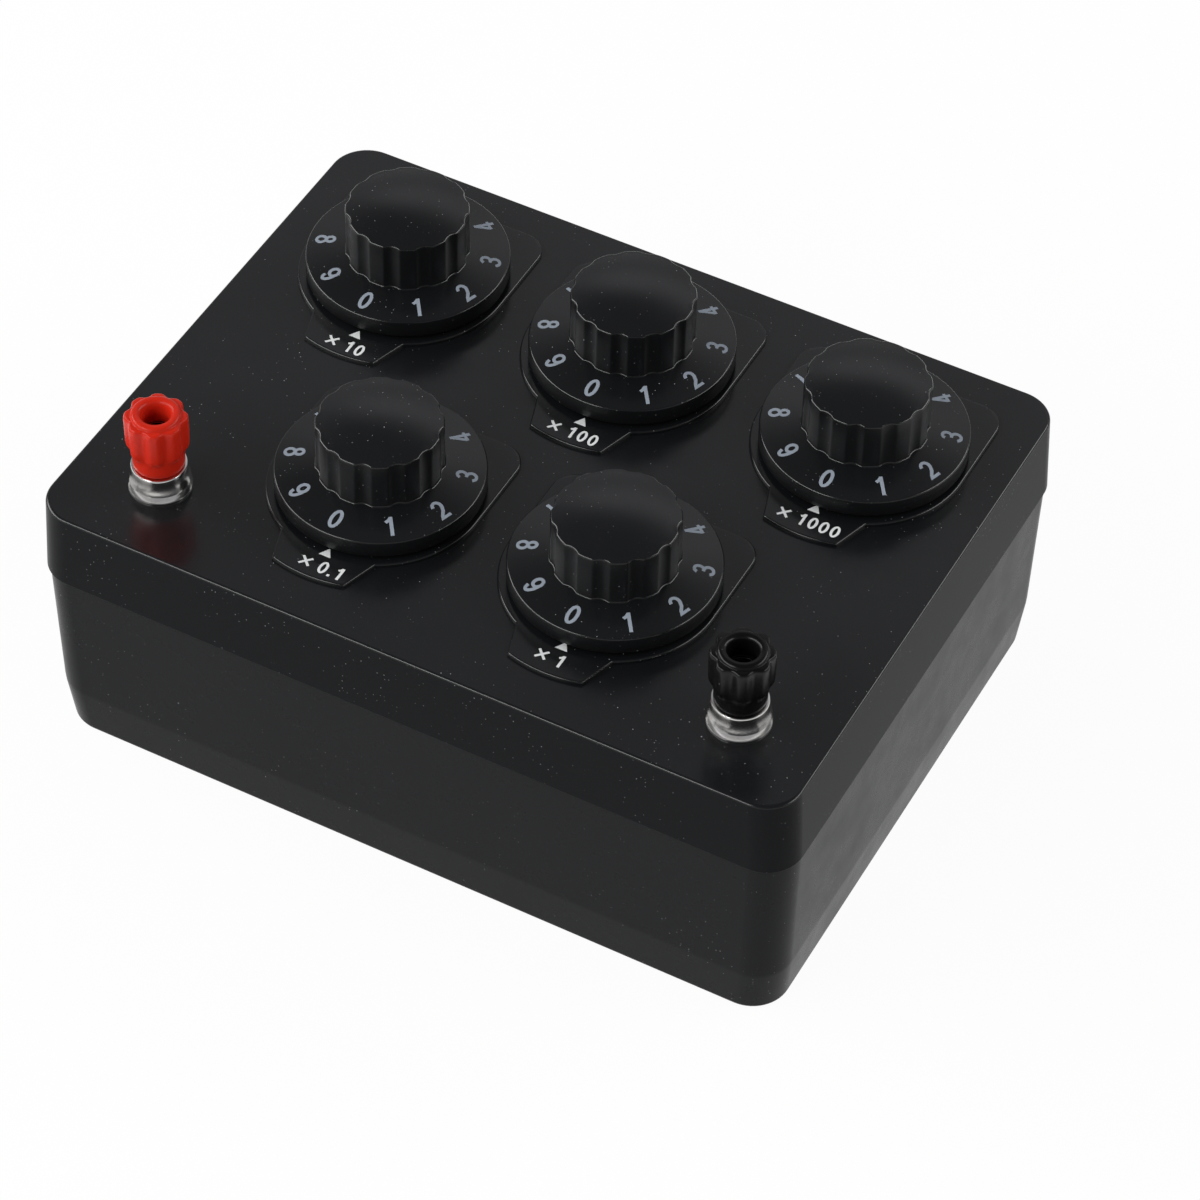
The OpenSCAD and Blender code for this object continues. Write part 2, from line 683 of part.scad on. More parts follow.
// Solder tags under the cover, one on each post, with the ear towards the middle
module post_tags() {
    color("#d0d0c8") for (i = [0, 1]) translate([POST_AT[i].x, POST_AT[i].y, tag_z]) difference() {
        union() {
            cylinder(r = post_nut_r, h = tag_t);
            translate([i == 0 ? 0 : -tag_reach, -wire_r*2, 0]) cube([tag_reach, wire_r*4, tag_t]);
        }
        translate([0, 0, -over]) cylinder(r = post_stud_r + hole_clear, h = tag_t + 2*over);
    }
}

// Hexagon nuts that hold the binding posts
module post_nuts() {
    color("#b9bcc0") for (at = POST_AT) translate([at.x, at.y, post_nut_z]) difference() {
        cylinder(r = post_nut_r, h = post_nut_t, $fn = 6);
        translate([0, 0, -over]) cylinder(r = post_stud_r + turn_clear, h = post_nut_t + 2*over);
    }
}

// Point under a switch where its first stud, or its common ring, is wired
function first_stud(i) = [DIAL_AT[i].x, DIAL_AT[i].y - stud_ring_r, tail_z];
function common_stud(i) = [DIAL_AT[i].x, DIAL_AT[i].y + common_r, tail_z];
function tag_end(i) = [POST_AT[i].x + (i == 0 ? 1 : -1)*(tag_reach - wire_r), POST_AT[i].y, tag_z];
// Run from one terminal to another: down, across in an even curve, and up
function run(a, b) = let (low_a = [a.x, a.y, wire_z], low_b = [b.x, b.y, wire_z], bow = 2*wire_r) [
    a - [0, 0, shaft_clear], (a + low_a)/2,
    for (k = [0:8]) let (s = k/8, ease = s*s*(3 - 2*s))
        [a.x + (b.x - a.x)*ease, a.y + (b.y - a.y)*ease, wire_z - bow*sin(180*s)],
    (b + low_b)/2, b - [0, 0, shaft_clear]
];

// Hook-up wires that put the five decades in series between the posts
module hookup_wires() {
    color("#b8322a") {
        wire(run(tag_end(0), first_stud(0)), wire_r);
        wire(run(common_stud(0), first_stud(2)), wire_r);
        wire(run(common_stud(2), common_stud(3)), wire_r);
        wire(run(first_stud(3), common_stud(4)), wire_r);
        wire(run(first_stud(4), common_stud(1)), wire_r);
        wire(run(first_stud(1), tag_end(1)), wire_r);
    }
}

top_cover();
base_shell();
case_screws();
for (i = [0:4]) {
    dial_plate(i);
    knob(i);
    switch_shaft(i);
    switch_bush(i);
    switch_body(i);
    contact_wafer(i);
    rotor(i);
    wiper(i);
    resistors(i);
}
switch_contacts();
bush_nuts();
bush_washers();
post_collars();
post_studs();
post_insert(0);  // post_insert_red
post_insert(1);  // post_insert_black
post_cap(0);  // post_cap_red
post_cap(1);  // post_cap_black
post_tags();
post_nuts();
hookup_wires();
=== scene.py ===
import math

import bmesh
import bpy
from mathutils import Matrix, Vector


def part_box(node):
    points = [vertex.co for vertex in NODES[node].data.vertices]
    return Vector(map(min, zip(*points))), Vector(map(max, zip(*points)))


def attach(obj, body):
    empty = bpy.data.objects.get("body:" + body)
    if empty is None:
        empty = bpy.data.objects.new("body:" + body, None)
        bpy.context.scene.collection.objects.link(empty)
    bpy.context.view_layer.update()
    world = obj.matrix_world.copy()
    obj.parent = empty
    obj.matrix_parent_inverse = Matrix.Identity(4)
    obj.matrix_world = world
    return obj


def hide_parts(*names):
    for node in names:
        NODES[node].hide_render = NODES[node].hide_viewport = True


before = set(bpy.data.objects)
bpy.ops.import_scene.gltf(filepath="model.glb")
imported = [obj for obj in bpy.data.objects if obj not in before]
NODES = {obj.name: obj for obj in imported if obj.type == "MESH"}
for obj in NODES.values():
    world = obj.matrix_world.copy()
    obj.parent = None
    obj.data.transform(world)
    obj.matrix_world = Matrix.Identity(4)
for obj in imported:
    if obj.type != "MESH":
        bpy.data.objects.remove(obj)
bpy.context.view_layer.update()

MM = 0.001
DECADES = ("tenths", "units", "tens", "hundreds", "thousands")
POSTS = ("red", "black")


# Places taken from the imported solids, in millimetres
def box_mm(node):
    low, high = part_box(node)
    return low / MM, high / MM


def middle(node):
    low, high = box_mm(node)
    return (low + high) / 2


COVER_LOW, COVER_HIGH = box_mm("top_cover")
KNOB_LOW, KNOB_HIGH = box_mm("knob_tenths")
PLATE_LOW, PLATE_HIGH = box_mm("dial_plate_tenths")
COVER_Z = COVER_HIGH.z
PART_Z = COVER_LOW.z
TONGUE_Z = box_mm("base_shell")[1].z
DIAL_AT = {name: middle("knob_" + name).xy for name in DECADES}
POST_AT = {name: middle("post_cap_" + name).xy for name in POSTS}
SKIRT_R = (KNOB_HIGH.x - KNOB_LOW.x) / 2


# Small tools for meshes
MERGE_M = 1e-7
TINY = 1e-6
SHARP_DEG = 40
ROD_SEGMENTS = 48


def link(obj):
    bpy.context.scene.collection.objects.link(obj)
    return obj


def finish_mesh(mesh, sharp_deg=SHARP_DEG):
    bm = bmesh.new()
    bm.from_mesh(mesh)
    bmesh.ops.remove_doubles(bm, verts=bm.verts, dist=MERGE_M)
    bmesh.ops.recalc_face_normals(bm, faces=bm.faces)
    bm.to_mesh(mesh)
    bm.free()
    mesh.shade_smooth()
    mesh.set_sharp_from_angle(angle=math.radians(sharp_deg))


def mesh_object(name, verts, faces, sharp_deg=SHARP_DEG):
    mesh = bpy.data.meshes.new(name)
    mesh.from_pydata([tuple(c * MM for c in v) for v in verts], [], faces)
    finish_mesh(mesh, sharp_deg)
    return link(bpy.data.objects.new(name, mesh))


def weigh_normals(obj):
    normals = obj.modifiers.new("face_weighted_normals", "WEIGHTED_NORMAL")
    normals.keep_sharp = True
    return obj


def join(parts):
    """Verts and faces of several parts as those of one."""
    verts, faces = [], []
    for more_verts, more_faces in parts:
        start = len(verts)
        verts += more_verts
        faces += [tuple(start + i for i in face) for face in more_faces]
    return verts, faces


def loft(rings):
    """Quads between rings of as many points, with a flat face at each end."""
    count = len(rings[0])
    verts = [p for ring in rings for p in ring]
    faces = []
    for k in range(len(rings) - 1):
        low, high = k * count, (k + 1) * count
        for i in range(count):
            j = (i + 1) % count
            faces.append((low + i, low + j, high + j, high + i))
    faces.append(tuple(range(count - 1, -1, -1)))
    faces.append(tuple((len(rings) - 1) * count + i for i in range(count)))
    return verts, faces


def revolve(profile, at, z, segments):
    """Profile of (radius, height), or a function of the angle that gives one, turned about Z."""
    angles = [2 * math.pi * i / segments for i in range(segments)]
    columns = [profile(angle) if callable(profile) else profile for angle in angles]
    verts, faces, rows = [], [], []
    for k, (radius, height) in enumerate(columns[0]):
        if radius < TINY:
            rows.append([len(verts)])
            verts.append((at[0], at[1], z + height))
            continue
        rows.append(range(len(verts), len(verts) + segments))
        for angle, column in zip(angles, columns):
            r, h = column[k]
            verts.append((at[0] + r * math.cos(angle), at[1] + r * math.sin(angle), z + h))
    for low, high in zip(rows, rows[1:]):
        for i in range(segments):
            j = (i + 1) % segments
            if len(low) == 1 and len(high) > 1:
                faces.append((low[0], high[i], high[j]))
            elif len(high) == 1 and len(low) > 1:
                faces.append((low[i], low[j], high[0]))
            elif len(low) > 1:
                faces.append((low[i], low[j], high[j], high[i]))
    return verts, faces


def rod(at, low, high, radius):
    return revolve([(0, low), (radius, low), (radius, high), (0, high)], at, 0, ROD_SEGMENTS)


def oval(cx, cy, rx, ry, start, end, steps=22):
    """Points of an oval from start to end, in degrees."""
    turns = [math.radians(start + (end - start) * k / steps) for k in range(steps + 1)]
    return [(cx + rx * math.cos(turn), cy + ry * math.sin(turn)) for turn in turns]


def arc(cx, cy, radius, start, end, steps):
    return oval(cx, cy, radius, radius, start, end, steps)


def rounding(radius, degrees):
    """Pairs along a quarter round: how far in from its side, and how far down from its top."""
    turns = [math.radians(a) for a in degrees]
    return [(radius * (1 - math.cos(turn)), radius * (1 - math.sin(turn))) for turn in turns]


def mitre(one, two, least):
    """Normal at the turn between two unit steps, and its share of a step's own normal."""
    normal = Vector((-one.y - two.y, one.x + two.x)).normalized()
    return normal, max(least, normal.dot(Vector((-one.y, one.x))))


def cut_or_add(obj, tools, operation):
    """Boolean of obj with the joined tools, taken into its mesh."""
    tool = mesh_object("tool", *join(tools))
    boolean = obj.modifiers.new("boolean", "BOOLEAN")
    boolean.operation = operation
    boolean.solver = "EXACT"
    boolean.object = tool
    graph = bpy.context.evaluated_depsgraph_get()
    made = bpy.data.meshes.new_from_object(obj.evaluated_get(graph))
    obj.modifiers.clear()
    obj.data = made
    bpy.data.objects.remove(tool)
    finish_mesh(made)


# Small tools for shader trees, which are made of noise and cells in the object's own space
def new_material(name):
    material = bpy.data.materials.new(name)
    material.use_nodes = True
    tree = material.node_tree
    return material, tree, tree.nodes["Principled BSDF"]


def add_node(tree, kind, settings=None, values=None):
    made = tree.nodes.new(kind)
    for key, value in (settings or {}).items():
        setattr(made, key, value)
    for key, value in (values or {}).items():
        made.inputs[key].default_value = value
    return made


def coordinates(tree, kind="Object"):
    return add_node(tree, "ShaderNodeTexCoord").outputs[kind]


def noise(tree, size_mm, detail=3.0, roughness=0.55):
    values = {"Scale": 1000.0 / size_mm, "Detail": detail, "Roughness": roughness}
    made = add_node(tree, "ShaderNodeTexNoise", None, values)
    tree.links.new(coordinates(tree), made.inputs["Vector"])
    return made.outputs["Fac"]


def spread(tree, value, low, high, to_low, to_high, smooth=False):
    """Value taken from one range to another and kept inside it."""
    settings = {"interpolation_type": "SMOOTHSTEP" if smooth else "LINEAR"}
    ranges = {"From Min": low, "From Max": high, "To Min": to_low, "To Max": to_high}
    made = add_node(tree, "ShaderNodeMapRange", settings, ranges)
    tree.links.new(value, made.inputs["Value"])
    return made.outputs["Result"]


def combine(tree, operation, first, second):
    made = add_node(tree, "ShaderNodeMath", {"operation": operation})
    tree.links.new(first, made.inputs[0])
    tree.links.new(second, made.inputs[1])
    return made.outputs["Value"]


def multiply(tree, first, second):
    return combine(tree, "MULTIPLY", first, second)


def larger(tree, first, second):
    return combine(tree, "MAXIMUM", first, second)


def mix_colour(tree, factor, first, second):
    made = add_node(tree, "ShaderNodeMix", {"data_type": "RGBA"})
    tree.links.new(factor, made.inputs["Factor"])
    for socket, colour in ((made.inputs["A"], first), (made.inputs["B"], second)):
        if isinstance(colour, tuple):
            socket.default_value = (*colour, 1.0)
        else:
            tree.links.new(colour, socket)
    return made.outputs["Result"]


def bump(tree, shader, height, distance_mm):
    made = add_node(tree, "ShaderNodeBump", None, {"Strength": 1.0, "Distance": distance_mm * MM})
    tree.links.new(height, made.inputs["Height"])
    tree.links.new(made.outputs["Normal"], shader.inputs["Normal"])


# Noises by size in millimetres, detail and roughness
CLOUD = 28.0, 4.0
HAZE = 9.0, 5.0, 0.65
GATHERING = 12.0, 3.0
STAIN = 3.0, 5.0, 0.65
WEAR = 0.5, 4.0, 0.7
INK_HAZE = 2.0, 3.0

# Dust: its colour, how much it hides, and each kind's cell in millimetres, reach and share of cells
DUST = (0.42, 0.43, 0.44)
DUST_HIDES = 0.85
FINE_DUST = 0.7, 0.17, 0.36
COARSE_DUST = 4.2, 0.042, 0.5

PLASTIC_IOR = 1.45
SCRATCH_DEPTH_MM = 0.004


def specks(tree, dusty, cell_mm, reach, share):
    """Mask of dust: dots round some points of a cell pattern, gathered in some places."""
    values = {"Scale": 1000.0 / cell_mm, "Randomness": 1.0}
    cells = add_node(tree, "ShaderNodeTexVoronoi", None, values)
    tree.links.new(coordinates(tree), cells.inputs["Vector"])
    parts = add_node(tree, "ShaderNodeSeparateColor")
    tree.links.new(cells.outputs["Color"], parts.inputs["Color"])
    least = 1.0 - share * dusty
    near = spread(tree, cells.outputs["Distance"], reach * 0.4, reach, 1.0, 0.0, True)
    chosen = spread(tree, parts.outputs["Red"], least, least + 0.02, 0.0, 1.0)
    strong = spread(tree, parts.outputs["Green"], 0.2, 1.0, 0.12, 1.0)
    gathered = spread(tree, noise(tree, *GATHERING), 0.44, 0.6, 0.05, 1.0)
    return multiply(tree, multiply(tree, near, chosen), multiply(tree, strong, gathered))


def facing_up(tree):
    """Mask of what faces up in the piece's own space, which leaves its upright walls out, so that
    they can take a painted tone by facing direction.
    """
    parts = add_node(tree, "ShaderNodeSeparateXYZ")
    tree.links.new(coordinates(tree, "Normal"), parts.inputs["Vector"])
    return spread(tree, parts.outputs["Z"], 0.12, 0.5, 0.0, 1.0)


def moulded_plastic(name, colour, tint, rough, grain_mm, grain_depth_mm,
                    dusty=0.0, shine=0.5, walls=None):
    """Plastic of two near colours; walls gives the colour, shine and roughness of upright walls,
    where the colour is a painted tone by facing direction that stands in for how light falls on
    them.
    """
    material, tree, shader = new_material(name)
    cloud = spread(tree, noise(tree, *CLOUD), 0.35, 0.65, 0.0, 1.0)
    body = mix_colour(tree, cloud, colour, tint)
    haze = spread(tree, noise(tree, *HAZE), 0.3, 0.7, rough[0], rough[1])
    shader.inputs["IOR"].default_value = PLASTIC_IOR
    shader.inputs["Specular IOR Level"].default_value = shine
    if walls:
        painted_wall_tone, wall_shine, wall_rough = walls
        top = facing_up(tree)
        # Painted tone by facing direction: upright walls get their own colour, which stands in for
        # how light falls on them
        body = mix_colour(tree, top, painted_wall_tone, body)
        haze = larger(tree, haze, spread(tree, top, 0.0, 1.0, wall_rough, 0.0))
        level = spread(tree, top, 0.0, 1.0, wall_shine, shine)
        tree.links.new(level, shader.inputs["Specular IOR Level"])
    if dusty > 0:
        fine = specks(tree, dusty, *FINE_DUST)
        coarse = specks(tree, dusty, *COARSE_DUST)
        dust = spread(tree, larger(tree, fine, coarse), 0.0, 1.0, 0.0, DUST_HIDES)
        body = mix_colour(tree, dust, body, DUST)
        haze = larger(tree, haze, dust)
    tree.links.new(body, shader.inputs["Base Color"])
    tree.links.new(haze, shader.inputs["Roughness"])
    bump(tree, shader, noise(tree, grain_mm, 2.0), grain_depth_mm)
    return material


def plated_metal(name, colour, dark, rough_low, rough_high, scratch_mm):
    material, tree, shader = new_material(name)
    stain = noise(tree, *STAIN)
    body = mix_colour(tree, spread(tree, stain, 0.42, 0.75, 0.0, 1.0), colour, dark)
    haze = spread(tree, stain, 0.35, 0.75, rough_low, rough_high)
    tree.links.new(body, shader.inputs["Base Color"])
    tree.links.new(haze, shader.inputs["Roughness"])
    shader.inputs["Metallic"].default_value = 1.0
    bump(tree, shader, noise(tree, scratch_mm, 3.0), SCRATCH_DEPTH_MM)
    return material


def printed_ink(name, colour, worn):
    material, tree, shader = new_material(name)
    wear = spread(tree, noise(tree, *WEAR), 0.55, 0.8, 0.0, 0.6)
    haze = spread(tree, noise(tree, *INK_HAZE), 0.3, 0.7, 0.42, 0.6)
    tree.links.new(mix_colour(tree, wear, colour, worn), shader.inputs["Base Color"])
    tree.links.new(haze, shader.inputs["Roughness"])
    return material


# Materials, with two near colours for each plastic
CASE_BLACK = (0.0068, 0.0073, 0.008), (0.0082, 0.0088, 0.0096)
# Lighter copy of the case black, painted light for upright walls that stands in for how light falls
# on them; the base is all walls and takes it whole
PAINTED_LIGHT_WALL_BLACK = (0.0113, 0.0118, 0.0126), (0.0122, 0.0127, 0.0135)
COVER_WALLS_PAINTED_LIGHT = PAINTED_LIGHT_WALL_BLACK[0], 0.025, 0.28
KNOB_BLACK = (0.0066, 0.0071, 0.0077), (0.008, 0.0085, 0.0092)
KNOB_WALLS = (0.0075, 0.008, 0.0087), 0.3, 0.36
CAP_RED = (0.53, 0.016, 0.006), (0.57, 0.021, 0.008)
CAP_BLACK = (0.0034, 0.0034, 0.0036), (0.0044, 0.0044, 0.0046)
PHENOLIC = (0.06, 0.034, 0.02), (0.075, 0.042, 0.026)
LAMINATE = (0.26, 0.125, 0.045), (0.31, 0.16, 0.06)
NYLON = (0.68, 0.64, 0.54), (0.72, 0.68, 0.58)
LACQUER = (0.09, 0.26, 0.42), (0.11, 0.3, 0.46)
WIRE_RED = (0.5, 0.05, 0.035), (0.54, 0.06, 0.045)
NICKEL = (0.84, 0.83, 0.81), (0.68, 0.66, 0.63)
BRASS = (0.75, 0.55, 0.24), (0.55, 0.38, 0.15)
BRONZE = (0.66, 0.4, 0.2), (0.5, 0.29, 0.14)
ZINC = (0.62, 0.63, 0.65), (0.46, 0.46, 0.46)
NUMBER_GREY = (0.295, 0.337, 0.394), (0.165, 0.185, 0.215)
MARK_WHITE = (0.78, 0.8, 0.8), (0.5, 0.51, 0.51)
MATERIALS = {
    "cover": moulded_plastic(
        "cover_plastic", *CASE_BLACK, (0.17, 0.24), 0.9, 0.003,
        dusty=0.8, shine=0.5, walls=COVER_WALLS_PAINTED_LIGHT),
    # The base is coloured all over with the walls' painted-light copy of the case black
    "base": moulded_plastic(
        "base_plastic", *PAINTED_LIGHT_WALL_BLACK, (0.24, 0.33), 0.8, 0.005, dusty=0.7, shine=0.065),
    "plate": moulded_plastic(
        "plate_plastic", *CASE_BLACK, (0.16, 0.22), 0.7, 0.002, dusty=0.9, shine=0.55),
    "knob": moulded_plastic(
        "knob_plastic", *KNOB_BLACK, (0.15, 0.22), 0.7, 0.002,
        dusty=1.0, shine=0.6, walls=KNOB_WALLS),
    "red": moulded_plastic(
        "red_cap_plastic", *CAP_RED, (0.26, 0.34), 1.2, 0.006, dusty=0.15, shine=0.2),
    "black": moulded_plastic(
        "black_cap_plastic", *CAP_BLACK, (0.2, 0.28), 1.2, 0.005, dusty=0.4, shine=0.26),
    "nickel": plated_metal("nickel_plate", *NICKEL, 0.13, 0.24, 0.6),
    "brass": plated_metal("turned_brass", *BRASS, 0.2, 0.36, 0.4),
    "bronze": plated_metal("spring_bronze", *BRONZE, 0.25, 0.4, 0.4),
    "steel": plated_metal("zinc_plate", *ZINC, 0.26, 0.42, 0.3),
    "phenolic": moulded_plastic("phenolic", *PHENOLIC, (0.4, 0.52), 0.6, 0.006, dusty=0.2),
    "laminate": moulded_plastic("paper_laminate", *LAMINATE, (0.42, 0.55), 0.35, 0.01, dusty=0.1),
    "nylon": moulded_plastic("nylon", *NYLON, (0.4, 0.5), 0.8, 0.004),
    "lacquer": moulded_plastic("resistor_lacquer", *LACQUER, (0.25, 0.35), 0.5, 0.006),
    "wire": moulded_plastic("wire_cover", *WIRE_RED, (0.35, 0.45), 0.8, 0.004),
    "number_ink": printed_ink("number_ink", *NUMBER_GREY),
    "mark_ink": printed_ink("mark_ink", *MARK_WHITE),
}


def dress(obj, material, body, slot, *replaced):
    obj.data.materials.clear()
    obj.data.materials.append(MATERIALS[material])
    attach(obj, body)
    if replaced:
        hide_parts(*replaced)


# Camera where the photograph was taken from
CAMERA_AT = (248.5, -466.3, 579.2)
CAMERA_RIGHT = Vector((0.88115, 0.47253, 0.01691))
CAMERA_DOWN = Vector((0.35455, -0.63662, -0.68483))
SENSOR_W = 36.0
LENS = 137.75


def make_camera():
    data = bpy.data.cameras.new("photo_camera")
    data.sensor_width = SENSOR_W
    data.lens = LENS
    data.clip_start = 0.01
    data.clip_end = 50.0
    camera = link(bpy.data.objects.new("photo_camera", data))
    right, up = CAMERA_RIGHT.normalized(), -CAMERA_DOWN.normalized()
    back = right.cross(up)
    camera.matrix_world = Matrix((
        (right.x, up.x, back.x, CAMERA_AT[0] * MM),
        (right.y, up.y, back.y, CAMERA_AT[1] * MM),
        (right.z, up.z, back.z, CAMERA_AT[2] * MM),
        (0.0, 0.0, 0.0, 1.0),
    ))
    bpy.context.scene.camera = camera


make_camera()


# Case shells
CORNER_R = 6.4
CORNER_STEPS = 14
WALL = 2.2
INNER_R = CORNER_R - WALL
COVER_WALL = 2.4
FLOOR_WALL = 2.4
COVER_DRAFT = (0.8, 0.1)
TOP_ROUND = 0.5
LIP_ROUND = 0.25
LEDGE = 0.35
BASE_DRAFT = 0.45
CREASE_Z = 9.7
CREASE_DRAFT = 0.8
CREASE_ABOVE = 0.3
CREASE_BELOW = 0.7
CREASE_SHARE = 0.06
FOOT_ROUND = 1.0
RIM_BEVEL = (0.15, 0.2)
TONGUE_IN = 2.5
TONGUE_WALL = 1.1
TONGUE_BEVEL = 0.2
TONGUE_ROOT = 4.0
SCREW_IN = (9.2, 8.0)
SCREW_X = COVER_HIGH.x - SCREW_IN[0]
SCREW_Y = COVER_HIGH.y - SCREW_IN[1]
SCREW_AT = [(sx * SCREW_X, sy * SCREW_Y) for sx in (-1, 1) for sy in (-1, 1)]
COVER_BOSS_R = 3.6
BASE_BOSS_R = 4.4
PILOT_R = 1.5
PILOT_DEPTH = 8.3
BUSH_CUT_R = 4.35
POST_CUT_R = 2.95
CUT_DEPTH = 4.0
CUT_PAST = 1.0
SCREW_CUT = (
    (0, -1), (3.4, -1), (3.4, 0.0), (3.0, 0.4), (3.0, 18), (1.65, 18), (1.65, 40), (0, 40),
)


def drafted_ring(inset_x, inset_y, z, radius=CORNER_R):
    """Outline of the case, set in by its own amount along each axis."""
    side = COVER_HIGH.x - inset_x - radius
    end = COVER_HIGH.y - inset_y - radius
    points = []
    for k, (sx, sy) in enumerate(((1, 1), (-1, 1), (-1, -1), (1, -1))):
        points += arc(sx * side, sy * end, radius, 90 * k, 90 * k + 90, CORNER_STEPS)
    return [(x, y, z) for x, y in points]


def case_ring(inset, z, radius=CORNER_R):
    return drafted_ring(inset, inset, z, radius)


def make_cover():
    dx, dy = COVER_DRAFT
    rings = [
        drafted_ring(WALL + dx, WALL + dy, COVER_Z - COVER_WALL, INNER_R),
        case_ring(WALL, PART_Z, INNER_R),
        case_ring(LIP_ROUND, PART_Z),
    ]
    for rise, inset in rounding(LIP_ROUND, (30, 60, 90)):
        rings.append(case_ring(inset, PART_Z + rise))
    for inset, drop in rounding(TOP_ROUND, range(0, 91, 10)):
        rings.append(drafted_ring(dx + inset, dy + inset, COVER_Z - drop))
    cover = mesh_object("case_cover", *loft(rings))
    boss_top = COVER_Z - COVER_WALL / 2
    cut_or_add(cover, [rod(at, PART_Z, boss_top, COVER_BOSS_R) for at in SCREW_AT], "UNION")
    low, high = COVER_Z - CUT_DEPTH, COVER_Z + CUT_PAST
    holes = [rod(at, PART_Z - CUT_PAST, PART_Z + PILOT_DEPTH, PILOT_R) for at in SCREW_AT]
    holes += [rod(at, low, high, BUSH_CUT_R) for at in DIAL_AT.values()]
    holes += [rod(at, low, high, POST_CUT_R) for at in POST_AT.values()]
    cut_or_add(cover, holes, "DIFFERENCE")
    return weigh_normals(cover)


def make_base():
    crease_in = LEDGE + BASE_DRAFT
    foot_in = crease_in + CREASE_DRAFT
    inner_in = TONGUE_IN + TONGUE_WALL
    root_z = PART_Z - TONGUE_ROOT
    rings = []
    for inset, rise in rounding(FOOT_ROUND, range(90, -1, -15)):
        rings.append(case_ring(foot_in + inset, rise))
    rings += [
        case_ring(crease_in + CREASE_DRAFT * CREASE_SHARE, CREASE_Z - CREASE_BELOW),
        case_ring(crease_in, CREASE_Z + CREASE_ABOVE),
        case_ring(LEDGE, PART_Z - RIM_BEVEL[1]),
        case_ring(LEDGE + RIM_BEVEL[0], PART_Z),
        case_ring(TONGUE_IN, PART_Z, INNER_R),
        case_ring(TONGUE_IN, TONGUE_Z - TONGUE_BEVEL, INNER_R),
        case_ring(TONGUE_IN + TONGUE_BEVEL, TONGUE_Z, INNER_R),
        case_ring(inner_in, TONGUE_Z, INNER_R),
        case_ring(inner_in, root_z, INNER_R),
        case_ring(LEDGE + WALL, root_z, INNER_R),
        case_ring(crease_in + WALL, CREASE_Z, INNER_R),
        case_ring(foot_in + WALL, FLOOR_WALL, INNER_R),
    ]
    base = mesh_object("case_base", *loft(rings))
    cut_or_add(base, [rod(at, FLOOR_WALL / 2, PART_Z, BASE_BOSS_R) for at in SCREW_AT], "UNION")
    holes = [revolve(SCREW_CUT, at, 0, ROD_SEGMENTS) for at in SCREW_AT]
    cut_or_add(base, holes, "DIFFERENCE")
    return weigh_normals(base)


dress(make_cover(), "cover", "case", "case_plastic", "top_cover")
dress(make_base(), "base", "case", "case_plastic", "base_shell")


# Pan head screws with a cross recess, sunk in the base
HEAD_H = 2.0
SCREW_HEAD = ((0, 0), (1.9, 0.0), (2.4, 0.25), (2.7, 0.8), (2.7, HEAD_H), (1.45, HEAD_H))
SCREW_SEGMENTS = 40
THREAD_R = 1.45
THREAD_ROOT_R = 1.2
THREAD_PITCH = 0.7
TIP_R = 1.0
TIP_BEVEL = 0.4
PLAIN_TIP = 1.0
SLOT_SIZES = ((1.5, 0.28), (0.28, 1.5))
SLOT_DEPTH = 1.1
SLOT_PAST = 0.5


def drive_slot(at, half_x, half_y, z):
    """One arm of a cross recess, which gets narrower along X into the head."""
    rings = []
    for share, level in ((1, z - SLOT_PAST), (0.5, z + SLOT_DEPTH)):
        corners = ((-share, -1), (share, -1), (share, 1), (-share, 1))
        rings.append([(at[0] + a * half_x, at[1] + b * half_y, level) for a, b in corners])
    return loft(rings)


def make_screws():
    low, high = box_mm("case_screws")
    length = high.z - low.z
    profile = list(SCREW_HEAD)
    z = HEAD_H
    while z < length - PLAIN_TIP:
        profile += [(THREAD_R, z + 0.1), (THREAD_ROOT_R, z + 0.35), (THREAD_R, z + 0.6)]
        z += THREAD_PITCH
    profile += [(THREAD_R, length - TIP_BEVEL), (TIP_R, length), (0, length)]
    parts = [revolve(profile, at, low.z, SCREW_SEGMENTS) for at in SCREW_AT]
    screws = mesh_object("sunk_screws", *join(parts))
    for half_x, half_y in SLOT_SIZES:
        slots = [drive_slot(at, half_x, half_y, low.z) for at in SCREW_AT]
        cut_or_add(screws, slots, "DIFFERENCE")
    return screws


dress(make_screws(), "steel", "case", "steel", "case_screws")


# Dial plates
PLATE_R = (PLATE_HIGH.x - PLATE_LOW.x) / 2
PLATE_T = PLATE_HIGH.z - COVER_Z
PLATE_BACK = 18.1
PLATE_CORNER = 4.5
PLATE_ROUND = 0.34
PLATE_STEPS = 48
TAB_REACH = 23.25
TAB_ROOT = (9.0, -14.82)
TAB_END = (6.3, -TAB_REACH)
TAB_STEPS = 20
BUSH_HOLE = 4.3
LEAST_OUTLINE_MITRE = 0.5
HALVINGS = 40


def plate_at(decade):
    """Middle of a plate's round front, which is a little off the dial's axis."""
    _, high = box_mm("dial_plate_" + decade)
    return Vector((high.x - PLATE_R, high.y - PLATE_BACK))


PLATE_AT = {decade: plate_at(decade) for decade in DECADES}


def on_line(radius):
    """Point of the tab's right side at that distance from the middle of the round front."""
    low, high = 0.0, 1.0
    for _ in range(HALVINGS):
        mid = (low + high) / 2
        x = TAB_ROOT[0] + (TAB_END[0] - TAB_ROOT[0]) * mid
        y = TAB_ROOT[1] + (TAB_END[1] - TAB_ROOT[1]) * mid
        if math.hypot(x, y) < radius:
            low = mid
        else:
            high = mid
    return x, y


